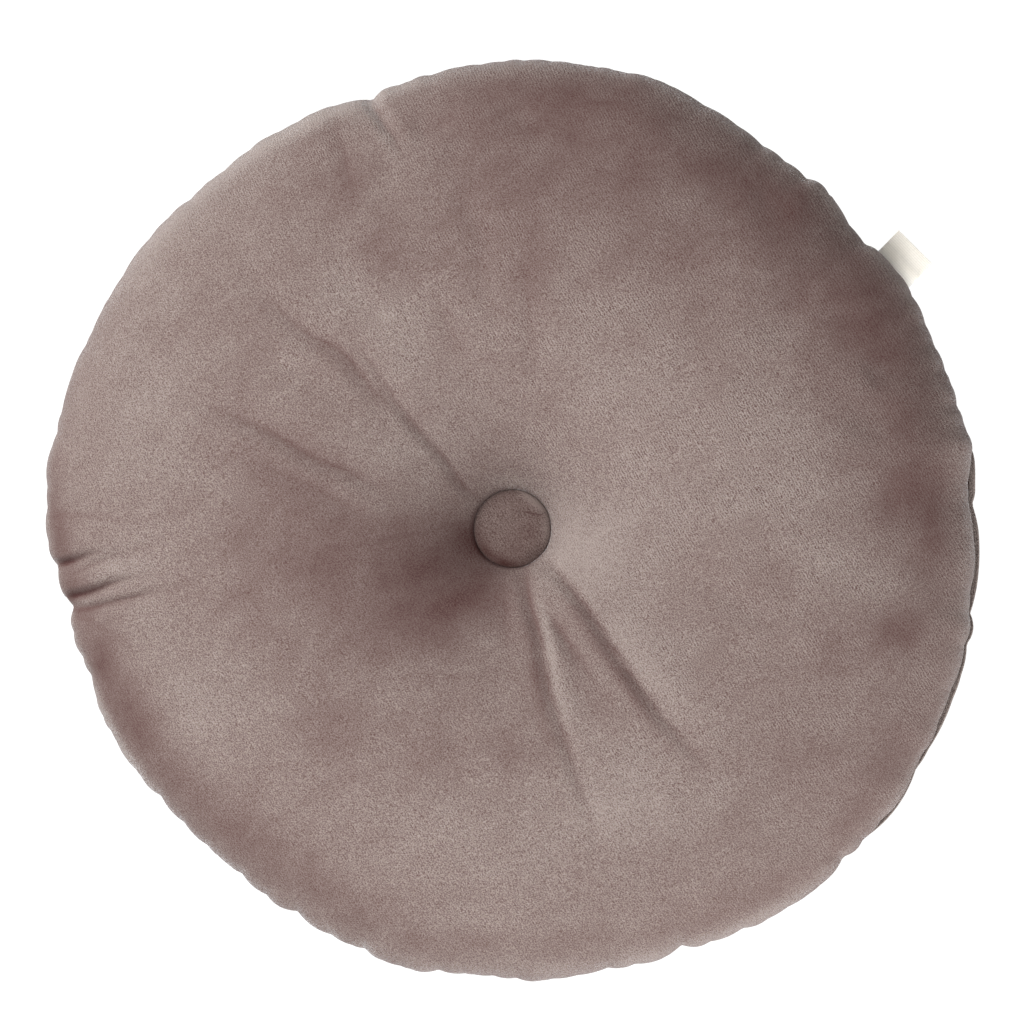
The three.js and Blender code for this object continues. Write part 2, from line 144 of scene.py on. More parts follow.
# Folds of the front face: depth (below 0 it is a ridge), half width to the left and to the right of the
# way it runs, and the points that it runs through
FRONT_FOLDS = [
    (4.6, 6, 2.6, [(20, -19.2), (22.9, -22.6), (34.8, -35.2), (43.9, -46.5), (52.2, -59), (61, -71),
        (78, -93), (95, -112)]),
    (3, 3.2, 2.8, [(8.6, -22), (10.4, -28.1), (13.5, -38.7), (19.3, -52.7), (24.8, -74.9), (31.2, -95.3),
        (42.1, -130.8), (50, -158)]),
    (2, 3, 2.6, [(16, -30), (21.2, -41.4), (31, -54.5), (40.3, -66.5), (52, -84)]),
    (-1.5, 4, 4, [(12, -22), (19, -38), (27, -63), (36, -95)]),
    (0.9, 9, 9, [(34, -62), (46, -86), (58, -108)]),
    (0.7, 5, 5, [(2, -34), (4, -50), (7.5, -68)]),
    (2.6, 2.2, 5, [(-9.5, 7.5), (-16.5, 12.7), (-22.8, 23.5), (-28.8, 30.9), (-36.6, 40.1), (-43.7, 50.2),
        (-51, 62.9), (-57.7, 72.3), (-66, 86)]),
    (2, 4, 5.5, [(-44, 43), (-53.7, 55.3), (-61.2, 65.5), (-68.1, 71.6), (-76.8, 76), (-84.7, 81.3),
        (-97.4, 92.8), (-104, 100.9), (-114, 114)]),
    (2.2, 3.6, 6.5, [(-48, 11.5), (-57.1, 15.2), (-64.5, 19.5), (-74.6, 22.9), (-83.9, 28), (-92.5, 33.2),
        (-103, 38.5), (-121.7, 46.5), (-140, 52)]),
    (1.2, 6, 7, [(-56, 0), (-66.2, 4.9), (-74.5, 10), (-83.8, 14.3), (-97.5, 20.3), (-112, 26)]),
    (0.8, 14, 9, [(-15.1, -1.7), (-28.8, -5.6), (-50, -11.2), (-74.6, -15.7), (-96.7, -20.8)]),
    (1.2, 4, 5, [(17.5, 58), (16.5, 76), (15, 92), (16, 112)]),
    (0.9, 4, 4, [(-24, 94), (-17, 75), (-11, 58)]),
    (1.4, 7, 5, [(-196, 2.5), (-183.5, 1.2), (-176, 0), (-167.5, -1), (-150, -2.5)]),
    (3.4, 1.6, 3.6, [(-199.5, -20), (-197.9, -19.6), (-188.7, -18), (-184.3, -16.8), (-179.9, -15.6),
        (-171, -13.6)]),
    (1.8, 2.4, 3.2, [(-190, -24.2), (-186.7, -23.4), (-177, -19.8), (-165.4, -16.5), (-157.7, -14.6),
        (-138, -10.5)]),
    (4.2, 1.8, 4.6, [(-196.5, -34), (-192, -33.6), (-183.8, -32.4), (-177, -30.8), (-172.2, -29.2),
        (-165.4, -27.5), (-150, -25)]),
    (3, 1.6, 3.2, [(-196, -40), (-190.6, -39.6), (-186.7, -39.4), (-180.9, -38.9), (-174.1, -37.7),
        (-167.4, -36.5), (-150, -33), (-130, -29)]),
    (1, 6, 8, [(-192, -41), (-186.4, -42.8), (-175.2, -47.4), (-165.1, -52.8), (-150, -62)]),
    (3, 3, 2.4, [(-62, 187), (-57.6, 180.8), (-53.6, 175.4), (-48.9, 168.3), (-44.7, 163.4), (-39, 153)]),
    (0.9, 5, 6, [(-78, 178), (-75.5, 174.5), (-67.9, 159.8), (-64, 146.7), (-60, 128)]),
    (0.9, 4, 4, [(66, -186), (78, -182), (88, -175)]),
]
BACK_FOLDS = [
    (2.2, 6, 6, [(16, 5), (30, 13), (54, 22)]),
    (1.8, 6, 6, [(1, 13), (-1, 30), (-2, 58)]),
    (2.4, 7, 7, [(-15, -2), (-32, 0), (-58, -4)]),
    (2, 6, 6, [(-4, -21), (-12, -36), (-28, -60)]),
    (1.8, 6, 6, [(15, -17), (26, -28), (46, -52)]),
]
# The form of a fold: how many half widths away it is felt, how round a trough's bottom is, how many half
# widths it fills and how steeply, and along the path its start, its run and how early it is deepest
FOLD = dict(felt=4.5, round=0.3, half=2.2, steep=1.6, start=0.006, run=0.97, early=0.55)
# Painted shade along a trough's bottom: its half width, how dark it is, and the depth at which it is that
# dark
CREASE_SHADE = dict(reach=1.3, shade=0.34, depth=4.0)

# Patches painted lighter, or darker below 0, partly the pile's own tone and partly painted shade and painted
# highlights in the folds and round the button: how much, the middle, the half length, the half width and the
# direction
NAP_AND_PAINTED_LIGHT = [
    (-0.24, -41, -26, 46, 18, 0), (-0.1, -77, 2, 18, 9, -15), (-0.12, -40, -42, 42, 8, 5),
    (-0.14, -18, -12, 16, 12, 30), (-0.14, -10, -36, 14, 9, -35), (-0.09, -84, -24, 26, 6, 5),
    (-0.11, -25, -52, 16, 14, 0), (-0.12, -52, -54, 28, 10, 0), (-0.07, -100, 18, 38, 10, -22),
    (-0.1, -62, -88, 12, 15, 0), (-0.2, 24, 172, 48, 16, -3), (-0.13, -5, 132, 32, 28, 0),
    (-0.1, 40, 148, 24, 14, 0), (-0.09, 78, 108, 20, 12, 0), (-0.1, 86, 148, 11, 9, 0),
    (-0.1, -50, 118, 12, 16, 0), (-0.09, -66, 140, 8, 20, -15), (-0.09, 142, 76, 17, 14, 0),
    (-0.11, 170, 8, 16, 12, 0), (-0.28, 173, -51, 10, 9, 0), (-0.08, 155, -58, 22, 12, 20),
    (0.13, -160, 55, 18, 45, 0), (0.16, -50, 84, 30, 14, -55), (0.15, -44, 30, 18, 12, 0),
    (0.12, 55, 5, 32, 55, 10), (0.08, 42, 66, 20, 12, -15), (0.14, 118, 20, 28, 35, 0),
    (0.17, 143, -22, 12, 10, 0), (0.1, 165, -32, 14, 8, 0), (0.17, 65, -60, 34, 12, -58),
    (0.13, -30, -138, 32, 18, 0), (0.15, 50, -125, 28, 26, 0), (0.08, -120, -83, 28, 22, 0),
    (0.24, 26, -7, 9, 18, 0), (0.2, 6, 13, 12, 4, -15), (-0.12, -18, -6, 6, 10, 0),
    (-0.12, -4, -27, 8, 5, 0), (-0.12, -20, -42, 8, 8, 0), (-0.07, -56, -4, 36, 6, 5),
    (0.12, 54, -60, 34, 3, -57), (-0.13, 21, -84, 24, 3.5, -80), (-0.16, 61, -76, 24, 3, -57),
    (-0.16, -184, -28.5, 9, 4.5, 10), (0.16, -186, -36.6, 8, 2, 5), (-0.12, -175, -62, 7, 8, 0),
    (0.12, 142, 111, 12, 12, 0), (-0.07, 118, -30, 12, 14, 0), (-0.1, 142, -56, 8, 10, 0),
    (-0.08, 12, -104, 10, 8, 0), (-0.12, 55, 186, 16, 6, -10), (0.1, 15, 170, 10, 5, 0),
    (0.14, -58, 176, 10, 5, 0), (-0.08, 21, 88, 5, 14, 0), (-0.12, 131, 88, 7, 9, 0),
    (-0.12, 136, 62, 6, 9, 0), (-0.08, 140, 22, 20, 8, 0), (-0.08, -152, -88, 16, 12, 0),
    (-0.09, -66, -99, 10, 7, 0), (-0.08, -33, -110, 8, 10, 0), (-0.07, 20, -181, 46, 6, 0),
    (0.08, 19, -135, 10, 12, 0), (0.08, -90, -148, 8, 6, 0), (0.08, -137, 125, 14, 14, 0),
    (0.08, -100, 153, 10, 6, 0), (-0.12, 10, 162, 34, 12, 0), (-0.12, 60, 150, 14, 18, 0),
    (-0.1, 170, -4, 10, 12, 0), (-0.1, 124, -114, 12, 8, 0), (-0.08, 113, -150, 10, 8, 0),
    (0.08, -128, -72, 18, 34, 0), (-0.1, -70, 158, 16, 4.5, -68), (0.12, 3, -172, 34, 12, 0),
    (0.1, 60, -118, 30, 18, 0), (-0.08, 60, 125, 60, 40, -35), (0.38, 23.4, -57, 28, 2.3, -76),
    (0.12, 33, -82, 20, 6, -68), (-0.22, 48.3, -60.5, 36, 3.4, -54), (-0.14, 17, -62, 28, 2.8, -77),
    (-0.08, 31, -52, 16, 2.4, -58), (0.2, 22.5, -19.5, 6, 5, -45), (0.12, 46, -10, 12, 14, 0),
    (0.1, 66, 55, 18, 14, 0), (0.12, -140, 45, 16, 18, 0), (-0.14, -84, 30, 30, 6, -23),
    (-0.1, -67, 66, 26, 5, -38), (-0.1, -33, -14, 10, 18, 0), (-0.1, -100, -35, 40, 8, 0),
    (-0.13, 186, -4, 7, 22, 0), (-0.12, 142, -106, 12, 10, 0), (-0.08, 122, -88, 16, 14, 0),
    (-0.06, 40, 182, 36, 8, -8), (0.08, 22, 158, 26, 6, 0), (-0.2, 134, 139, 10, 6, -45),
    (-0.14, 168, 94, 8, 14, 30), (-0.1, 124, 98, 22, 16, -30), (-0.1, 146, 50, 14, 26, 0),
    (-0.08, 16, 108, 8, 30, 0), (-0.08, -22, 120, 14, 10, 0), (-0.12, -80, 147, 8, 14, -15),
    (-0.08, -74, -90, 14, 10, 0), (-0.08, -48, -62, 24, 10, 0), (-0.08, -24, -98, 8, 14, 0),
    (-0.09, 8, -98, 8, 12, 0), (-0.1, 47, -80, 22, 6, -50), (0.1, 61, -60, 30, 5, -52),
    (0.12, 26, -30, 8, 8, 0), (0.1, -170, -20, 24, 14, 10), (0.1, -122, -115, 10, 14, 0),
    (0.12, -150, 106, 10, 14, 40), (0.08, 8, -157, 36, 8, 0), (-0.1, -50, 108, 14, 12, 0),
    (-0.13, -92, -10, 34, 14, -3), (-0.16, -10, -14, 8, 8, 0), (0.16, 40, -18, 15, 12, -30),
    (0.1, -150, -45, 14, 30, 0), (0.1, -140, -95, 14, 22, -50), (-0.05, 168, 36, 16, 26, 0),
    (0.14, -157, -22, 16, 5, 10), (0.22, -50, 166, 4, 14, 25),
]

# The same on the buttons, from the middle of each: a painted highlight along the dome's upper right edge,
# painted shade along its crease and lower edge, and the pile's own tone
BUTTON_NAP_AND_PAINTED_LIGHT = [
    (0.9, 9.8, 12, 9, 2.2, -40), (0.5, 15.5, 0, 7, 2.4, 85), (-0.4, 9, 6.4, 5, 0.45, -12),
    (-0.3, 14.5, 6.6, 2.5, 0.45, 20), (-0.32, -7.5, -12.5, 10, 3.2, -30), (-0.24, -1, -15.6, 10, 2.2, 2),
    (-0.2, -13.6, -5, 8, 3, -65), (-0.14, 7, -1, 5, 3.5, 30), (-0.12, 2, -9, 6, 3, -30),
    (0.08, -5, 5, 8, 7, 0),
]

# The crease of the button's cover, as a fold, and the pleats at its edge: how deep, the middle and half of
# their angle, how far apart, the radius from which they run out, and how far they take to rise
BUTTON_CREASE = [(1.0, 0.9, 1.3, [(3.0, 7.2), (8.0, 6.2), (12.7, 5.6), (16.5, 7.9)])]
PLEATS = dict(deep=0.6, middle=-50.0, half=18.0, apart=3.4, start=12.5, rise=2.0)

# Bands along the rim painted lighter or darker, partly the pile's tone and partly painted shade on the rolled
# edge and a painted grey sheen at its very edge: how much, the direction and the distance inside the outline
# of the middle, the half angle and the half width
RIM_NAP_AND_PAINTED_LIGHT = [
    (-0.24, 50, 22, 15, 16), (-0.22, 30, 18, 13, 15), (-0.24, 6, 20, 15, 15), (-0.1, 82, 16, 14, 7),
    (-0.27, 205, 14, 16, 12), (-0.2, 184, 8, 9, 8), (-0.2, 231, 20, 16, 13), (-0.1, 252, 18, 12, 12),
    (-0.15, 328, 10, 12, 10), (0.2, 40, 1, 18, 6), (0.22, 100, 1, 35, 5), (0.22, 132, 4, 20, 8),
    (-0.12, 48, 12, 9, 8), (0.15, 265, 3, 25, 5), (0.25, 122, 3, 20, 6), (0.1, 170, 14, 20, 8),
    (-0.1, 177, 7, 9, 7), (0.1, 176, 0, 12, 3), (0.3, 200, 0, 14, 4), (0.24, 358, 2, 12, 5),
    (0.22, 338, 0, 14, 4), (0.3, 46, 0, 22, 3), (-0.14, 304, 9, 10, 6), (0.25, 300, 1, 18, 4),
    (0.2, 205, 1, 14, 4), (0.3, 115, 2, 7, 5), (0.22, 106, 3, 5, 5),
]
# The height from which the cushion's painted tone, shade and highlights show, and the height over which they
# come in
PAINTED_FROM = 40.0
PAINTED_FADE = 15.0

# The ribbon label: where it leaves the seam, the way it points, its sizes, how far out of the groove's bottom
# it starts, how steeply it rises, and the points of its folded end
LABEL = dict(at=32.9, points=44.0, width=20.6, length=17.0, thickness=0.6, gap=1.7, rise=8.0, steps=9)

# How many points the rings have, inside which radii only a quarter and a half of them, and how much closer
# together they lie towards the pinched side
RIM_COUNT = 960
BUTTON_COUNT = 360
QUARTER_INSIDE = 70.0
HALF_INSIDE = 150.0
CLOSER = dict(towards=195.0, share=0.35)
# The reach from which a face's rings lie as close as near its edge
FINE_FROM = 0.72
# The points that a face's section is measured with, for the simulated cloth and for the mesh
COARSE_SECTION = 400
FINE_SECTION = 4000

# The cloth simulation of the filled skin: growth is how much the cloth grows, damping is how much the air
# slows it, and seam and pit are how far from the seam and from the button's middle it is held
CLOTH = dict(voxel=5.0, frames=20, pressure=4.0, growth=0.03, bending=0.5, damping=5.0, steps=6, seam=17.0,
             pit=21.0)
# The wrinkles that it leaves: the reaches where they start, are full, begin to fade and end, and the reaches
# and the number of directions at which they are read
WRINKLE_FADE = (0.12, 0.3, 0.84, 0.94)
WRINKLE_REACHES = np.linspace(WRINKLE_FADE[0], WRINKLE_FADE[-1], 36)
WRINKLE_ANGLES = 260
# How many of the cloth's points each reading takes in and how wide each is felt, the fewest and the most
# wrinkles round the cushion, and the most that one stands out
WRINKLE = dict(near=14, felt=4.0, fewest=5, closest=70, most=1.5)

# The velvets: the colour where the pile lies dark and where it lies light, and the sheen
VELVET = dict(dark=(0.06, 0.025, 0.023, 1.0), light=(0.25, 0.208, 0.19, 1.0), sheen=0.3)
BUTTON_VELVET = dict(dark=(0.04, 0.016, 0.014, 1.0), light=(0.172, 0.13, 0.118, 1.0), sheen=0.05)
SHEEN_TINT = (0.94, 0.97, 1.0, 1.0)
# The share of the light colour where the pile lies as on most of the velvet
EVEN_SHARE = 0.5
# The velvet's noises, the way in degrees that two of them run, and how much longer they are that way
PATCHES = dict(scale=26.0, detail=3.0, roughness=0.6, distortion=0.7)
SMUDGES = dict(scale=80.0, detail=1.0, roughness=0.5, distortion=0.5)
FLECKS = dict(scale=2300.0, detail=0.0)
SMUDGE_RUN = (35.0, 1.8)
FLECK_RUN = (-15.0, 1.3)
# How much of each noise's range is cut off at either end, and how much the rest of it lightens or darkens
PATCH_SWING = (0.3, 0.05)
FLECK_SWING = (0.25, 0.42)
# The twill ribs: the direction that they cross, their pitch in millimetres, how much they wander in a noise
# of which scale, and how much they lighten or darken
RIBS = dict(crossing=30.0, pitch=1.15, wander=4.0, wander_scale=500.0, swing=0.2)
# How strongly they show: least up to the first of two places along a direction, and fully from the second.
# The smudges move these places, in metres. On steep cloth the ribs fade between two shares of level.
RIBBED = dict(direction=(0.8, 0.6, 0.0), places=(0.24, 0.42), wander=0.5, least=0.4, level=(0.25, 0.6))
# How strongly the grain shows, from dark cloth to light cloth: both shares, and both strengths
CRISP = (0.2, 0.65, 0.3, 1.05)
# The grain's relief
BUMP = dict(height=0.5, strength=0.6)
# Blender's bands lie so far apart at scale 1
WAVE_UNIT = math.pi / 10.0

# The ribbon: the pitch of its weft, how much that wanders in a noise of which scale, the scale of its flecks,
# how much of their range is cut off at either end, and the weft's share of the pattern
WEAVE = dict(pitch=0.9, wander=0.5, wander_scale=200.0, fleck_scale=1500.0, cut=0.3, weft=0.6)
# Its cream, darkest and lightest, for the foot and for the tip, and how far along the way that the label
# points each of them ends. The tip has the ribbon's own cream in full light; the foot's is painted lighter to
# lift the rim's shadow there
FOOT_PAINTED_LIGHT = dict(at=196.0, dark=(0.82, 0.775, 0.69, 1.0), light=(0.95, 0.905, 0.82, 1.0))
TIP_CREAM = dict(at=200.5, dark=(0.44, 0.417, 0.375, 1.0), light=(0.57, 0.542, 0.495, 1.0))

# The plain floor: how far it lies under the cushion, and its size in metres
FLOOR = dict(gap=0.2, size=12.0, grey=(0.1, 0.1, 0.1, 1.0), glow=1.0)
WHITE = (1.0, 1.0, 1.0, 1.0)

# The studio's lights: azimuth and elevation in degrees, size in metres, and power in watts
LIGHTS = {
    "side": (150.0, 30.0, 1.1, 64.5),
    "low": (300.0, 13.0, 0.9, 54.5),
    "top": (240.0, 72.0, 1.1, 47.0),
    "fill": (35.0, 55.0, 1.1, 14.0),
}
LIGHT_DISTANCE = 2.2
WORLD_STRENGTH = 0.05

# The camera: how far it leans off the face's axis and towards where, in degrees, its distance and the width
# of its picture in metres, and the sensor's width in millimetres
CAMERA = dict(tilt=9.5, towards=-18.0, distance=2.0, picture=0.4452, sensor=36.0)
AIM = (0.0016, 0.0025, 0.06)


def smooth_rim(angle):
    """The outline's slow waves at each angle in degrees."""
    radius = np.full_like(angle, RADIUS)
    for count, size, peak in WAVES:
        radius += size * np.cos(np.radians(count * (angle - peak)))
    return radius


def scallops(rows, angle):
    """A line through a table's rows that bulges between them."""
    at, height, bulge = np.array(rows).T
    index = np.clip(np.searchsorted(at, angle, side="right") - 1, 0, len(at) - 2)
    along = np.clip((angle - at[index]) / (at[index + 1] - at[index]), 0.0, 1.0)
    line = height[index] * (1.0 - along) + height[index + 1] * along
    return line + bulge[index] * 4.0 * along * (1.0 - along)


def gather_tables():
    """The rim's scallops, blurred by each of the widths in BLURS."""
    angle = np.arange(0.0, 360.0, TABLE_STEP)
    start, end = GATHERS[0], GATHERS[-1]
    rows = [(end[0] - 360.0, end[1], end[2])] + GATHERS + [(start[0] + 360.0, start[1], start[2])]
    sharp = scallops(rows, angle)
    steps = np.fft.fftfreq(len(angle), 1.0)
    tables = []
    for blur in BLURS:
        width = blur / TABLE_STEP
        tables.append(np.fft.ifft(np.fft.fft(sharp) * np.exp(-2.0 * (math.pi * width * steps) ** 2)).real)
    return np.array(tables)


GATHER_TABLES = gather_tables()


def fade(inward, reach, power):
    """From 1 at the edge towards 0 inwards."""
    return np.exp(-(inward / reach) ** power)


def gather_offset(angle, inward):
    """How far out of the waves the gathers lie, so far in from the rolled edge. They soften inwards."""
    blur = np.clip(BLURS[0] + BLUR_GROWTH * inward, BLURS[0], BLURS[-1])
    level = np.interp(blur, BLURS, np.arange(len(BLURS)))
    low = np.minimum(level.astype(int), len(BLURS) - 2)
    place = (angle % 360.0) / TABLE_STEP
    left = place.astype(int) % GATHER_TABLES.shape[1]
    right = (left + 1) % GATHER_TABLES.shape[1]
    part = place - np.floor(place)

    def read(index):
        return GATHER_TABLES[index, left] * (1.0 - part) + GATHER_TABLES[index, right] * part

    fine = read(low) * (1.0 - (level - low)) + read(low + 1) * (level - low)
    broad = read(np.full_like(low, len(BLURS) - 1))
    return (fine - broad) * fade(inward, *NARROW_FADE) + broad * fade(inward, *BROAD_FADE)


def smooth_path(points, step=1.0):
    """A curve through the points, as places and unit directions about one step apart."""
    points = np.array(points, float)
    ends = np.concatenate([[2 * points[0] - points[1]], points, [2 * points[-1] - points[-2]]])
    places = []
    for a, b, c, d in zip(ends, ends[1:], ends[2:], ends[3:]):
        count = max(2, int(np.linalg.norm(c - b) / step))
        t = (np.arange(count) / count)[:, None]
        places.append(0.5 * (2 * b + (c - a) * t + (2 * a - 5 * b + 4 * c - d) * t ** 2
                             + (3 * b - a - 3 * c + d) * t ** 3))
    places = np.concatenate(places + [points[-1:]])
    ways = np.gradient(places, axis=0)
    return places, ways / np.linalg.norm(ways, axis=1)[:, None]


def fold_fields(folds, points):
    """How deep the folds of a face are at each point, and how much painted shade from the bottom of a sharp
    one it takes.
    """
    depth, crease = np.zeros(len(points)), np.zeros(len(points))
    for deep, left, right, path in folds:
        places, ways = smooth_path(path)
        reach = FOLD["felt"] * max(left, right)
        low, high = places.min(0) - reach, places.max(0) + reach
        near = np.nonzero(((points[:, :2] > low) & (points[:, :2] < high)).all(1))[0]
        if len(near) == 0:
            continue
        offset = points[near, None, :2] - places[None, :, :]
        nearest = (offset ** 2).sum(2).argmin(1)
        off = offset[np.arange(len(near)), nearest]
        way = ways[nearest]
        side = way[:, 0] * off[:, 1] - way[:, 1] * off[:, 0]
        past = (way * off).sum(1)
        along = np.clip(nearest / (len(places) - 1), 0.0, 1.0)
        width = np.where(side > 0, left, right)
        distance = np.sqrt(side ** 2 + past ** 2)
        taper = np.sin(math.pi * (FOLD["start"] + FOLD["run"] * along) ** FOLD["early"])
        if deep > 0:
            blunt = np.sqrt(distance ** 2 + FOLD["round"])
            shape = np.clip(1.0 - blunt / (FOLD["half"] * width), 0.0, 1.0) ** FOLD["steep"]
            # How much painted shade lies along the trough's bottom
            crease[near] += deep / CREASE_SHADE["depth"] * taper * np.exp(-(distance / CREASE_SHADE["reach"]) ** 2)
        else:
            shape = np.exp(-(distance / width) ** 2)
        depth[near] += deep * shape * taper
    return depth, crease


def ring_points(centre, angle, radius, height):
    """Points round a centre, with the given directions in degrees, radii and heights."""
    x = centre[0] + radius * np.cos(np.radians(angle))
    y = centre[1] + radius * np.sin(np.radians(angle))
    return np.stack([x, y, np.full_like(x, 0.0) + height], axis=1)


def face_base(face, angle, reach):
    """Points of a face without its gathers and folds: reach is 0 at the pit's lip and 1 on the edge."""
    lip = BUTTON["radius"] + PIT["gap"]
    distance = lip + (smooth_rim(angle) - face["inset"] - lip) * reach
    swell = face["crown"] * np.sqrt(np.clip(1.0 - reach ** FULLNESS, 0.0, 1.0))
    drawn = face["draw"] * np.exp(-(distance - lip) / face["spread"])
    drawn += PIT["dip"] * np.exp(-((distance - lip) / PIT["dip_reach"]) ** 2)
    centre = [BUTTON_CENTRE[i] * (1.0 - reach) + CENTRE[i] * reach for i in (0, 1)]
    return ring_points(centre, angle, distance, SEAM_HEIGHT + face["side"] * (ROLL + swell - drawn))


def face_normals(face, angle, reach):
    """Outward normals of a face's base form."""
    step, turn = 0.002, 0.2
    ahead = face_base(face, angle, np.clip(reach + step, 0.0, 1.0))
    behind = face_base(face, angle, np.clip(reach - step, 0.0, 1.0))
    sideways = face_base(face, angle + turn, reach) - face_base(face, angle - turn, reach)
    normal = np.cross(ahead - behind, sideways) * face["side"]
    return normal / np.linalg.norm(normal, axis=1)[:, None]


def face_section(face, count):
    """Reaches from the pit's lip to the rolled edge, closer together there, and their points."""
    reaches = np.sin(np.linspace(0.0, math.pi / 2, count))
    return reaches, face_base(face, np.zeros_like(reaches), reaches)


def run_along(points, spacing=1.0):
    """How far along their line the points lie, in steps of the spacing."""
    steps = np.linalg.norm(np.diff(points, axis=0), axis=1)
    return np.concatenate([[0.0], np.cumsum(steps / spacing)])


def from_button(points):
    """How far points lie from the buttons' middle, seen from above."""
    return np.hypot(points[:, 0] - BUTTON_CENTRE[0], points[:, 1] - BUTTON_CENTRE[1])


def coarse_rings(face):
    """Rings of a face's base form, a voxel apart, from over the button to the rolled edge."""
    reaches, points = face_section(face, COARSE_SECTION)
    run = run_along(points)
    angle = around(WRINKLE_ANGLES)
    middle = points[:1] * [0.0, 0.0, 1.0] + [*BUTTON_CENTRE, 0.0]
    rings = [middle]
    for reach in np.interp(np.arange(0.0, run[-1], CLOTH["voxel"]), run, reaches):
        rings.append(face_base(face, angle, np.full_like(angle, reach)))
    return rings


def mesh_points(mesh):
    """A mesh's points in millimetres."""
    places = np.empty(len(mesh.vertices) * 3)
    mesh.vertices.foreach_get("co", places)
    return places.reshape(-1, 3) / MM


def swollen_cloth():
    """Swells cloth over the cushion's base form, and returns its points before and after."""
    skin = mesh_object("cloth_trial", [*coarse_rings(FRONT), *reversed(coarse_rings(BACK))])
    remesh = skin.modifiers.new("remesh", "REMESH")
    remesh.mode = "VOXEL"
    remesh.voxel_size = CLOTH["voxel"] * MM
    skin.data = bpy.data.meshes.new_from_object(skin.evaluated_get(bpy.context.evaluated_depsgraph_get()))
    skin.modifiers.clear()
    before = mesh_points(skin.data)
    out = from_button(before)
    at_seam = (np.abs(before[:, 2] - SEAM_HEIGHT) < CLOTH["seam"]) & (out > RADIUS / 2)
    held = skin.vertex_groups.new(name="sewn")
    held.add(np.nonzero(at_seam | (out < CLOTH["pit"]))[0].tolist(), 1.0, "REPLACE")
    cloth = skin.modifiers.new("cloth", "CLOTH")
    cloth.point_cache.frame_start, cloth.point_cache.frame_end = 1, CLOTH["frames"]
    settings = cloth.settings
    settings.vertex_group_mass = held.name
    settings.use_pressure = True
    settings.uniform_pressure_force = CLOTH["pressure"]
    settings.effector_weights.gravity = 0.0
    settings.shrink_min = settings.shrink_max = -CLOTH["growth"]
    settings.bending_stiffness = CLOTH["bending"]
    settings.air_damping = CLOTH["damping"]
    settings.quality = CLOTH["steps"]
    for moment in range(1, CLOTH["frames"] + 1):
        bpy.context.scene.frame_set(moment)
    after = mesh_points(skin.evaluated_get(bpy.context.evaluated_depsgraph_get()).data)
    bpy.data.objects.remove(skin)
    bpy.context.scene.frame_set(1)
    return before, after


def wrinkle_table(face, before, after):
    """How far the swollen cloth's wrinkles stand out, for each of the reaches and round the rim's points."""
    tree = KDTree(len(before))
    for index, place in enumerate(before):
        tree.insert(place, index)
    tree.balance()
    angle = around(WRINKLE_ANGLES)
    rows = []
    for reach in WRINKLE_REACHES:
        reaches = np.full_like(angle, reach)
        points, normals = face_base(face, angle, reaches), face_normals(face, angle, reaches)
        out = []
        for point, normal in zip(points, normals):
            near = tree.find_n(point, WRINKLE["near"])
            share = np.exp([-(distance / WRINKLE["felt"]) ** 2 for _, _, distance in near])
            index = [found[1] for found in near]
            out.append(share @ ((after[index] - before[index]) @ normal) / share.sum())
        waves = np.fft.rfft(out)
        waves[:WRINKLE["fewest"]] = 0.0
        waves[WRINKLE["closest"]:] = 0.0
        rows.append(np.fft.irfft(waves, RIM_COUNT) * RIM_COUNT / WRINKLE_ANGLES)
    rows = np.clip(rows, -WRINKLE["most"], WRINKLE["most"])
    full = np.interp(WRINKLE_REACHES, WRINKLE_FADE, (0.0, 1.0, 1.0, 0.0))
    return rows * full[:, None]


def wrinkle_offset(face, angle, reach):
    """How far the simulated wrinkles stand out at each angle and reach."""
    table = WRINKLES[face["side"]]
    column = np.rint(angle * RIM_COUNT / 360.0).astype(int) % RIM_COUNT
    row = np.interp(reach, WRINKLE_REACHES, np.arange(len(WRINKLE_REACHES)))
    low = np.minimum(row.astype(int), len(WRINKLE_REACHES) - 2)
    part = row - low
    return table[low, column] * (1.0 - part) + table[low + 1, column] * part


def face_points(face, folds, angle, reach):
    """Finished points of a face: base form, gathers and folds."""
    base = face_base(face, angle, reach)
    normal = face_normals(face, angle, reach)
    inward = (1.0 - reach) * (RADIUS - BUTTON["radius"])
    offset = gather_offset(angle, inward) * face["share"] - fold_fields(folds, base)[0]
    offset += wrinkle_offset(face, angle, reach)
    points = base + normal * offset[:, None]
    points[:, 2] = np.maximum(points[:, 2], 0.0)
    return points


def rim_points(angle, radius, height):
    """Points round the seam with the given radii, so high over it."""
    return ring_points(CENTRE, angle, radius, SEAM_HEIGHT + height)


def edge_radius(angle, share):
    """The radius of a rolled edge with its gathers."""
    return smooth_rim(angle) + gather_offset(angle, np.zeros_like(angle)) * share


def around(count):
    """Angles in degrees of a ring's points."""
    return np.arange(count) * 360.0 / count


def ring_angles(count):
    """Angles in degrees of a cushion ring's points, closer together where the rim is pinched most."""
    even = around(count)
    return even - np.degrees(CLOSER["share"] * np.sin(np.radians(even - CLOSER["towards"])))


def count_at(radius, thin):
    """How many points a ring has: fewer near the middle."""
    if radius < QUARTER_INSIDE:
        return RIM_COUNT // 4 // thin
    if radius < HALF_INSIDE:
        return RIM_COUNT // 2 // thin
    return RIM_COUNT // thin


def even_reaches(face):
    """Reaches from the pit's lip to the rolled edge, spaced along the section, finer near the edge."""
    reaches, points = face_section(face, FINE_SECTION)
    run = run_along(points, np.where(reaches[1:] > FINE_FROM, face["fine"], face["coarse"]))
    return np.interp(np.linspace(0.0, run[-1], int(run[-1]) + 1), run, reaches)


def face_rings(face, folds):
    """Rings of a face from the pit's lip to its rolled edge."""
    rings = []
    for reach in even_reaches(face):
        angle = ring_angles(count_at(reach * RADIUS, face["thin"]))
        rings.append(face_points(face, folds, angle, np.full_like(angle, reach)))
    return rings


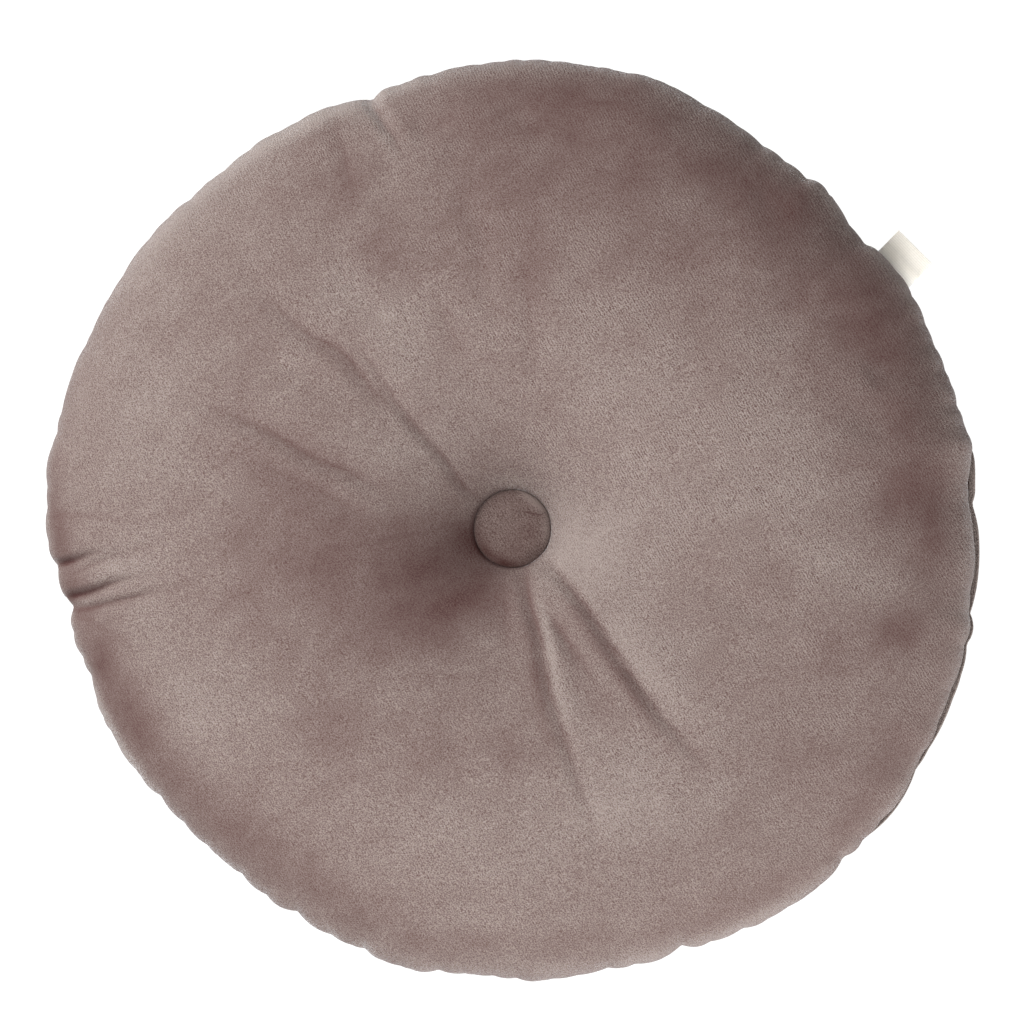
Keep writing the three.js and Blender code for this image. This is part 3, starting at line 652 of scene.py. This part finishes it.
def pit_rings(face):
    """The pit under a button, from its floor to just below its lip."""
    lip = SEAM_HEIGHT + face["side"] * (ROLL + face["crown"] - face["draw"] - PIT["dip"])
    floor = lip - face["side"] * (PIT["depth"] - PIT["dip"])
    radius = BUTTON["radius"] + PIT["gap"] - PIT["taper"]
    angle = ring_angles(count_at(0, face["thin"]))
    rings = [ring_points(BUTTON_CENTRE, np.zeros(1), 0.0, floor)]
    for size, height in ((radius * PIT["inner"], floor), (radius, floor),
                         (radius + PIT["taper"] / 2, (floor + lip) / 2)):
        rings.append(ring_points(BUTTON_CENTRE, angle, size, height))
    return rings


def curl_rings(face):
    """The roll of a face round its edge into the seam."""
    rings = []
    angle = ring_angles(RIM_COUNT // face["thin"])
    edge = edge_radius(angle, face["share"])
    groove = edge_radius(angle, 1.0) - GROOVE
    for bend in np.radians(CURL_BENDS):
        radius = groove + (edge - face["inset"] - groove) * math.cos(bend)
        height = SEAM_BAND + (ROLL - SEAM_BAND) * (1.0 - math.sin(bend))
        rings.append(rim_points(angle, radius, face["side"] * height))
    return rings


def seam_rings():
    """The bottom of the seam's groove, with the lip standing out of it."""
    angle = ring_angles(RIM_COUNT)
    groove = edge_radius(angle, 1.0) - GROOVE
    start = LIP[0][0]
    edge = smooth_rim(angle) + scallops(LIP, (angle - start) % 360.0 + start)
    out = np.maximum(edge, groove) - groove
    full = np.minimum(out / LIP_WAVES["full"], 1.0)
    wave = LIP_WAVES["height"] * np.sin(np.radians(angle * LIP_WAVES["count"])) * full
    rings = [rim_points(angle, groove, SEAM_BAND)]
    for share, height, _ in LIP_PROFILE:
        up = LIP_HALF * height + wave + LIP_RISE * out * share
        rings.append(rim_points(angle, groove + out * share, up))
    rings.append(rim_points(angle, groove, -SEAM_BAND))
    return rings


def band_faces(first, upper, second, lower):
    """Faces between two rings with equal counts, or one twice the other, or one a single point."""
    def up(i):
        return first + i % upper

    def low(i):
        return second + i % lower

    few, many = sorted((upper, lower))
    faces = []
    for i in range(many if few == 1 else few):
        if upper == lower:
            faces.append((up(i), low(i), low(i + 1), up(i + 1)))
        elif upper == 1:
            faces.append((up(0), low(i), low(i + 1)))
        elif lower == 1:
            faces.append((up(i), low(0), up(i + 1)))
        elif upper < lower:
            a, b, c = low(2 * i), low(2 * i + 1), low(2 * i + 2)
            faces += [(up(i), a, b), (up(i), b, up(i + 1)), (up(i + 1), b, c)]
        else:
            a, b, c = up(2 * i), up(2 * i + 1), up(2 * i + 2)
            faces += [(a, low(i), b), (b, low(i), low(i + 1)), (b, low(i + 1), c)]
    return faces


def patch_shade(patches, points):
    """How much lighter each point is painted, from a table of patches."""
    shade = np.zeros(len(points))
    for much, x, y, length, width, way in patches:
        ahead, aside = np.cos(np.radians(way)), np.sin(np.radians(way))
        off_x, off_y = points[:, 0] - x, points[:, 1] - y
        along, across = off_x * ahead + off_y * aside, off_y * ahead - off_x * aside
        shade += much * np.exp(-(along / length) ** 2 - (across / width) ** 2)
    return shade


def cushion_shade(points):
    """How much lighter each point of the cushion is painted: pile tone, painted shade and painted highlights.
    """
    shade = patch_shade(NAP_AND_PAINTED_LIGHT, points)
    off_x, off_y = points[:, 0] - CENTRE[0], points[:, 1] - CENTRE[1]
    direction = np.degrees(np.arctan2(off_y, off_x))
    inside = smooth_rim(direction) - np.hypot(off_x, off_y)
    for much, at, depth, half_angle, half_width in RIM_NAP_AND_PAINTED_LIGHT:
        turned = (direction - at + 180.0) % 360.0 - 180.0
        shade += much * np.exp(-(turned / half_angle) ** 2 - ((inside - depth) / half_width) ** 2)
    # Painted shade along the bottoms of the front's sharp folds
    shade -= CREASE_SHADE["shade"] * fold_fields(FRONT_FOLDS, points)[1]
    # Painted shade in a narrow ring round the button's pit
    from_lip = np.maximum(from_button(points) - BUTTON["radius"] - PIT["gap"], 0.0)
    shade += PIT["shade"] * np.exp(-(from_lip / PIT["shade_reach"]) ** 2)
    return shade * np.clip((points[:, 2] - PAINTED_FROM) / PAINTED_FADE, 0.0, 1.0)


def paint_tone_and_shading(piece, shade):
    """Keeps on a piece its painted pile tone, shade and highlights, for its material to read."""
    nap_and_shading = piece.data.attributes.new("nap_and_shading", "FLOAT", "POINT")
    nap_and_shading.data.foreach_set("value", shade)


def link(name, data):
    """A new object in the scene."""
    thing = bpy.data.objects.new(name, data)
    bpy.context.scene.collection.objects.link(thing)
    return thing


def link_mesh(name, verts, faces):
    """A smooth-shaded object with its points given in millimetres."""
    mesh = bpy.data.meshes.new(name)
    mesh.from_pydata((np.asarray(verts) * MM).tolist(), [], faces)
    mesh.polygons.foreach_set("use_smooth", [True] * len(mesh.polygons))
    mesh.update()
    return link(name, mesh)


def mesh_object(name, rings):
    """An object made of closed rings joined by bands."""
    faces = []
    starts = np.cumsum([0] + [len(ring) for ring in rings])
    for i in range(1, len(rings)):
        faces += band_faces(int(starts[i - 1]), len(rings[i - 1]), int(starts[i]), len(rings[i]))
    return link_mesh(name, np.concatenate(rings), faces)


# Each face's wrinkle table, level until the simulation has run
WRINKLES = {face["side"]: np.zeros((len(WRINKLE_REACHES), RIM_COUNT)) for face in (FRONT, BACK)}


def make_cushion():
    before, after = swollen_cloth()
    for face in (FRONT, BACK):
        WRINKLES[face["side"]] = wrinkle_table(face, before, after)
    front = [*pit_rings(FRONT), *face_rings(FRONT, FRONT_FOLDS), *curl_rings(FRONT)]
    seam = seam_rings()
    back = [*reversed(curl_rings(BACK)), *reversed(face_rings(BACK, BACK_FOLDS)), *reversed(pit_rings(BACK))]
    cushion = mesh_object("cushion_velvet", front + seam + back)
    # The lip's painted shade and highlight, ring by ring, with the groove's rings at either end
    at_seam = [LIP_PROFILE[0][2]] + [shade for _, _, shade in LIP_PROFILE] + [0.0]
    shades = [cushion_shade(np.concatenate(front)), np.repeat(at_seam, RIM_COUNT),
              np.zeros(len(np.concatenate(back)))]
    paint_tone_and_shading(cushion, np.concatenate(shades))
    return cushion


def button_profile():
    """Radius and height of a button's rings, from the middle of its dome to the middle of its back."""
    profile = [(0.0, BUTTON["height"])]
    for bend in np.linspace(math.pi / 2, 0.0, DOME_STEPS)[1:]:
        rise = (BUTTON["height"] - BUTTON["shoulder"]) * math.sin(bend)
        profile.append((BUTTON["radius"] * math.cos(bend) ** BUTTON["roundness"], BUTTON["shoulder"] + rise))
    return profile + [(BUTTON["skirt"], 0.0), (BUTTON["skirt"] * BUTTON["inner"], 0.0), (0.0, 0.0)]


def pleat_depth(points):
    """How deep the pleats at the button's edge are at points from its middle."""
    direction = np.degrees(np.arctan2(points[:, 1], points[:, 0])) - PLEATS["middle"]
    inside = np.clip(1.0 - (direction / PLEATS["half"]) ** 2, 0.0, 1.0)
    outward = (np.hypot(points[:, 0], points[:, 1]) - PLEATS["start"]) / PLEATS["rise"]
    outward = np.clip(outward, 0.0, 1.0)
    return PLEATS["deep"] * inside * outward * (0.5 - 0.5 * np.cos(math.tau * direction / PLEATS["apart"]))


def make_button(name, face):
    """A covered button: a flat back, a skirt, a round shoulder and a low dome with its crease and pleats."""
    lip = SEAM_HEIGHT + face["side"] * (ROLL + face["crown"] - face["draw"])
    back = lip + face["side"] * (BUTTON["flush"] - BUTTON["height"])
    angle = around(BUTTON_COUNT)
    rings = []
    for radius, height in button_profile():
        points = ring_points((0.0, 0.0), angle[:1] if radius == 0 else angle, radius, height)
        if height > BUTTON["shoulder"]:
            points[:, 2] -= fold_fields(BUTTON_CREASE, points)[0] + pleat_depth(points)
        rings.append(points)
    shade = patch_shade(BUTTON_NAP_AND_PAINTED_LIGHT, np.concatenate(rings))
    turned = [ring * [1.0, face["side"], face["side"]] + [*BUTTON_CENTRE, back] for ring in rings]
    button = mesh_object(name, turned)
    paint_tone_and_shading(button, shade)
    return button


def make_label():
    """The bare ribbon label, folded in two with its fold at the far end."""
    half = LABEL["thickness"] / 2
    section = [(0.0, -half), (LABEL["length"] - half, -half)]
    for bend in np.linspace(-math.pi / 2, math.pi / 2, LABEL["steps"])[1:-1]:
        section.append((LABEL["length"] - half + half * math.cos(bend), half * math.sin(bend)))
    section += [(LABEL["length"] - half, half), (0.0, half)]
    at = np.array([LABEL["at"]])
    foot = rim_points(at, edge_radius(at, 1.0) - GROOVE + LABEL["gap"], 0.0)[0]
    points = math.radians(LABEL["points"])
    rise = math.radians(LABEL["rise"])
    along = np.array([math.cos(points) * math.cos(rise), math.sin(points) * math.cos(rise), math.sin(rise)])
    across = np.array([-math.sin(points), math.cos(points), 0.0])
    upward = np.cross(along, across)
    verts = []
    for side in (-0.5, 0.5):
        for out, up in section:
            verts.append(foot + along * out + across * side * LABEL["width"] + upward * up)
    count = len(section)
    faces = [tuple(range(count)), tuple(reversed(range(count, 2 * count)))]
    for i in range(count):
        j = (i + 1) % count
        faces.append((i, i + count, j + count, j))
    return link_mesh("label_ribbon", verts, faces)


class Nodes:
    """A material with a small helper that adds shader nodes and joins them."""

    def __init__(self, name):
        self.material = bpy.data.materials.new(name)
        self.material.use_nodes = True
        self.tree = self.material.node_tree

    def put(self, socket, value):
        """Links a socket to another one, or gives it a value."""
        if isinstance(value, bpy.types.NodeSocket):
            self.tree.links.new(value, socket)
        else:
            socket.default_value = value

    def fill(self, node, *values, **inputs):
        """Puts values into a node's sockets by their order and by their names."""
        for index, value in enumerate(values):
            self.put(node.inputs[index], value)
        for key, value in inputs.items():
            self.put(node.inputs[key.replace("_", " ")], value)
        return node

    def add(self, kind, *values, **inputs):
        return self.fill(self.tree.nodes.new(kind), *values, **inputs)

    def shade(self, **inputs):
        """Puts values into the sockets of the material's own shader."""
        self.fill(self.tree.nodes["Principled BSDF"], **inputs)

    def maths(self, operation, *values):
        node = self.add("ShaderNodeMath")
        node.operation = operation
        return self.fill(node, *values).outputs[0]

    def turned(self, vector, degrees, stretch=1.0):
        """Coordinates turned round Z and stretched, so that a texture runs long in that direction."""
        node = self.add("ShaderNodeMapping")
        node.vector_type = "TEXTURE"
        self.fill(node, Vector=vector, Rotation=(0.0, 0.0, math.radians(degrees)), Scale=(stretch, 1.0, 1.0))
        return node.outputs[0]

    def noise(self, vector, scale, detail, roughness=0.5, distortion=0.0):
        node = self.add("ShaderNodeTexNoise", Vector=vector, Scale=scale, Detail=detail,
                        Roughness=roughness, Distortion=distortion)
        return node.outputs[0]

    def wave(self, vector, pitch, distortion, wander):
        """Even ribs that cross the X direction, so far apart, which wander in a noise of the given scale."""
        node = self.add("ShaderNodeTexWave", Vector=vector, Scale=WAVE_UNIT / pitch,
                        Distortion=distortion, Detail=1.0, Detail_Scale=wander * pitch / WAVE_UNIT)
        return node.outputs["Fac"]

    def mix_colours(self, share, first, second):
        """A mix of colours, by the sockets that Blender keeps for colours."""
        node = self.add("ShaderNodeMix")
        node.data_type = "RGBA"
        for index, value in ((0, share), (6, first), (7, second)):
            self.put(node.inputs[index], value)
        return node.outputs[2]

    def span(self, value, low, high, to_low=0.0, to_high=1.0):
        return self.add("ShaderNodeMapRange", value, low, high, to_low, to_high).outputs[0]

    def swing(self, value, cut, most):
        """A value spread from -most to most, with so much of its range cut off at either end."""
        return self.span(value, cut, 1.0 - cut, -most, most)


def rib_strength(nodes, place, smudge):
    """How strongly the ribs show at each place of the velvet."""
    along = nodes.add("ShaderNodeVectorMath", place, RIBBED["direction"])
    along.operation = "DOT_PRODUCT"
    border = nodes.maths("MULTIPLY_ADD", smudge, RIBBED["wander"], along.outputs["Value"])
    more = nodes.add("ShaderNodeMapRange", border, *RIBBED["places"], 0.0, 1.0 - RIBBED["least"])
    more.interpolation_type = "SMOOTHSTEP"
    normal = nodes.add("ShaderNodeTexCoord").outputs["Normal"]
    upright = nodes.add("ShaderNodeSeparateXYZ", normal).outputs["Z"]
    level = nodes.span(nodes.maths("ABSOLUTE", upright), *RIBBED["level"])
    return nodes.maths("MULTIPLY", nodes.maths("ADD", more.outputs[0], RIBBED["least"]), level)


def velvet_grain(nodes, place, smudge):
    """The velvet's twill ribs and flecks of pile, lighter above 0 and darker below."""
    crossing = nodes.turned(place, RIBS["crossing"])
    ribs = nodes.wave(crossing, RIBS["pitch"] * MM, RIBS["wander"], RIBS["wander_scale"])
    flecks = nodes.noise(nodes.turned(place, *FLECK_RUN), **FLECKS)
    strength = rib_strength(nodes, place, smudge)
    return nodes.maths("MULTIPLY_ADD", nodes.swing(ribs, 0.0, RIBS["swing"]), strength,
                       nodes.swing(flecks, *FLECK_SWING))


def velvet_share(nodes, place, smudge):
    """The share of the velvet's light colour, from the painted pile tone, shade and highlights and from soft
    patches.
    """
    nap_and_shading = nodes.add("ShaderNodeAttribute")
    nap_and_shading.attribute_name = "nap_and_shading"
    share = nodes.maths("ADD", nap_and_shading.outputs["Fac"], EVEN_SHARE)
    for noise in (nodes.noise(place, **PATCHES), smudge):
        share = nodes.maths("ADD", share, nodes.swing(noise, *PATCH_SWING))
    return share


def velvet(name, dark, light, sheen):
    """Short-pile velvet: painted tone, shade and highlights, twill ribs that show through, flecks of pile and
    a faint sheen.
    """
    nodes = Nodes(name)
    place = nodes.add("ShaderNodeTexCoord").outputs["Object"]
    smudge = nodes.noise(nodes.turned(place, *SMUDGE_RUN), **SMUDGES)
    grain = velvet_grain(nodes, place, smudge)
    share = velvet_share(nodes, place, smudge)
    crisp = nodes.span(share, *CRISP)
    colour = nodes.mix_colours(nodes.maths("MULTIPLY_ADD", grain, crisp, share), dark, light)
    bump = nodes.add("ShaderNodeBump", Distance=BUMP["height"] * MM, Height=grain,
                     Strength=nodes.maths("MULTIPLY", crisp, BUMP["strength"]))
    nodes.shade(Base_Color=colour, Normal=bump.outputs[0], Roughness=0.95, Specular_IOR_Level=0.1,
                Sheen_Weight=sheen, Sheen_Roughness=0.2, Sheen_Tint=SHEEN_TINT)
    return nodes.material


def ribbon():
    """Cream woven ribbon, thin enough for light to shine through, painted lighter at its foot against the
    rim's shadow.
    """
    nodes = Nodes("ribbon")
    place = nodes.add("ShaderNodeTexCoord").outputs["Object"]
    outward = nodes.turned(place, LABEL["points"])
    weft = nodes.wave(outward, WEAVE["pitch"] * MM, WEAVE["wander"], WEAVE["wander_scale"])
    flecks = nodes.noise(place, WEAVE["fleck_scale"], detail=1.0)
    flecked = nodes.span(flecks, WEAVE["cut"], 1.0 - WEAVE["cut"], 0.0, 1.0 - WEAVE["weft"])
    weave = nodes.maths("ADD", nodes.span(weft, 0.0, 1.0, 0.0, WEAVE["weft"]), flecked)
    along = nodes.add("ShaderNodeSeparateXYZ", outward).outputs["X"]
    # The foot's cream is painted lighter to lift the rim's shadow, and fades into the ribbon's own cream at
    # the tip
    share = nodes.span(along, FOOT_PAINTED_LIGHT["at"] * MM, TIP_CREAM["at"] * MM)
    foot, tip = (nodes.mix_colours(weave, cream["dark"], cream["light"]) for cream in (FOOT_PAINTED_LIGHT, TIP_CREAM))
    nodes.shade(Base_Color=nodes.mix_colours(share, foot, tip), Roughness=0.6, Subsurface_Weight=1.0,
                Subsurface_Radius=(1.0, 1.0, 1.0), Subsurface_Scale=2.0 * MM)
    return nodes.material


def dress(piece, material, slot, *nodes):
    """Gives a piece its material and ties it to the frame."""
    piece.data.materials.append(material)
    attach(piece, "root")
    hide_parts(*nodes)
    return piece


def make_floor():
    """A plain pale floor, which glows."""
    nodes = Nodes("floor")
    nodes.shade(Base_Color=FLOOR["grey"], Roughness=0.9, Specular_IOR_Level=0.0, Emission_Color=WHITE,
                Emission_Strength=FLOOR["glow"])
    bpy.ops.mesh.primitive_plane_add(size=FLOOR["size"], location=(0.0, 0.0, -FLOOR["gap"] * MM))
    floor = bpy.context.object
    floor.name = "floor"
    floor.data.materials.append(nodes.material)


def make_light(name, azimuth, elevation, size, power):
    """A square soft light that looks at the cushion."""
    lamp = bpy.data.lights.new(name, "AREA")
    lamp.energy = power
    lamp.size = size
    light = link(name, lamp)
    a, e = math.radians(azimuth), math.radians(elevation)
    way = Vector((math.cos(e) * math.cos(a), math.cos(e) * math.sin(a), math.sin(e)))
    light.location = way * LIGHT_DISTANCE
    light.rotation_euler = (-light.location).to_track_quat("-Z", "Y").to_euler()


def make_camera():
    """The camera above the face, leaning to the photo's lower right, its top towards +Y."""
    data = bpy.data.cameras.new("camera")
    data.sensor_width = CAMERA["sensor"]
    data.lens = data.sensor_width * CAMERA["distance"] / CAMERA["picture"]
    camera = link("camera", data)
    tilt, towards = math.radians(CAMERA["tilt"]), math.radians(CAMERA["towards"])
    back = Vector((math.sin(tilt) * math.cos(towards), math.sin(tilt) * math.sin(towards), math.cos(tilt)))
    right = Vector((0.0, 1.0, 0.0)).cross(back).normalized()
    up = back.cross(right)
    place = Vector(AIM) + back * CAMERA["distance"]
    camera.matrix_world = Matrix.Translation(place) @ Matrix((right, up, back)).transposed().to_4x4()
    bpy.context.scene.camera = camera


def make_world():
    """Even white light from all round."""
    world = bpy.data.worlds.new("studio")
    world.use_nodes = True
    background = world.node_tree.nodes["Background"]
    background.inputs["Color"].default_value = WHITE
    background.inputs["Strength"].default_value = WORLD_STRENGTH
    bpy.context.scene.world = world


make_camera()
make_world()
make_floor()
for name, light in LIGHTS.items():
    make_light(name, *light)

cloth = velvet("velvet", **VELVET)
cover = velvet("button_velvet", **BUTTON_VELVET)
cushion = dress(make_cushion(), cloth, "velvet", "cushion")
for name, face in (("button_front", FRONT), ("button_back", BACK)):
    dress(make_button(f"{name}_cover", face), cover, "button_velvet", name)
dress(make_label(), ribbon(), "ribbon", "label")

bpy.context.scene.view_settings.view_transform = "Standard"
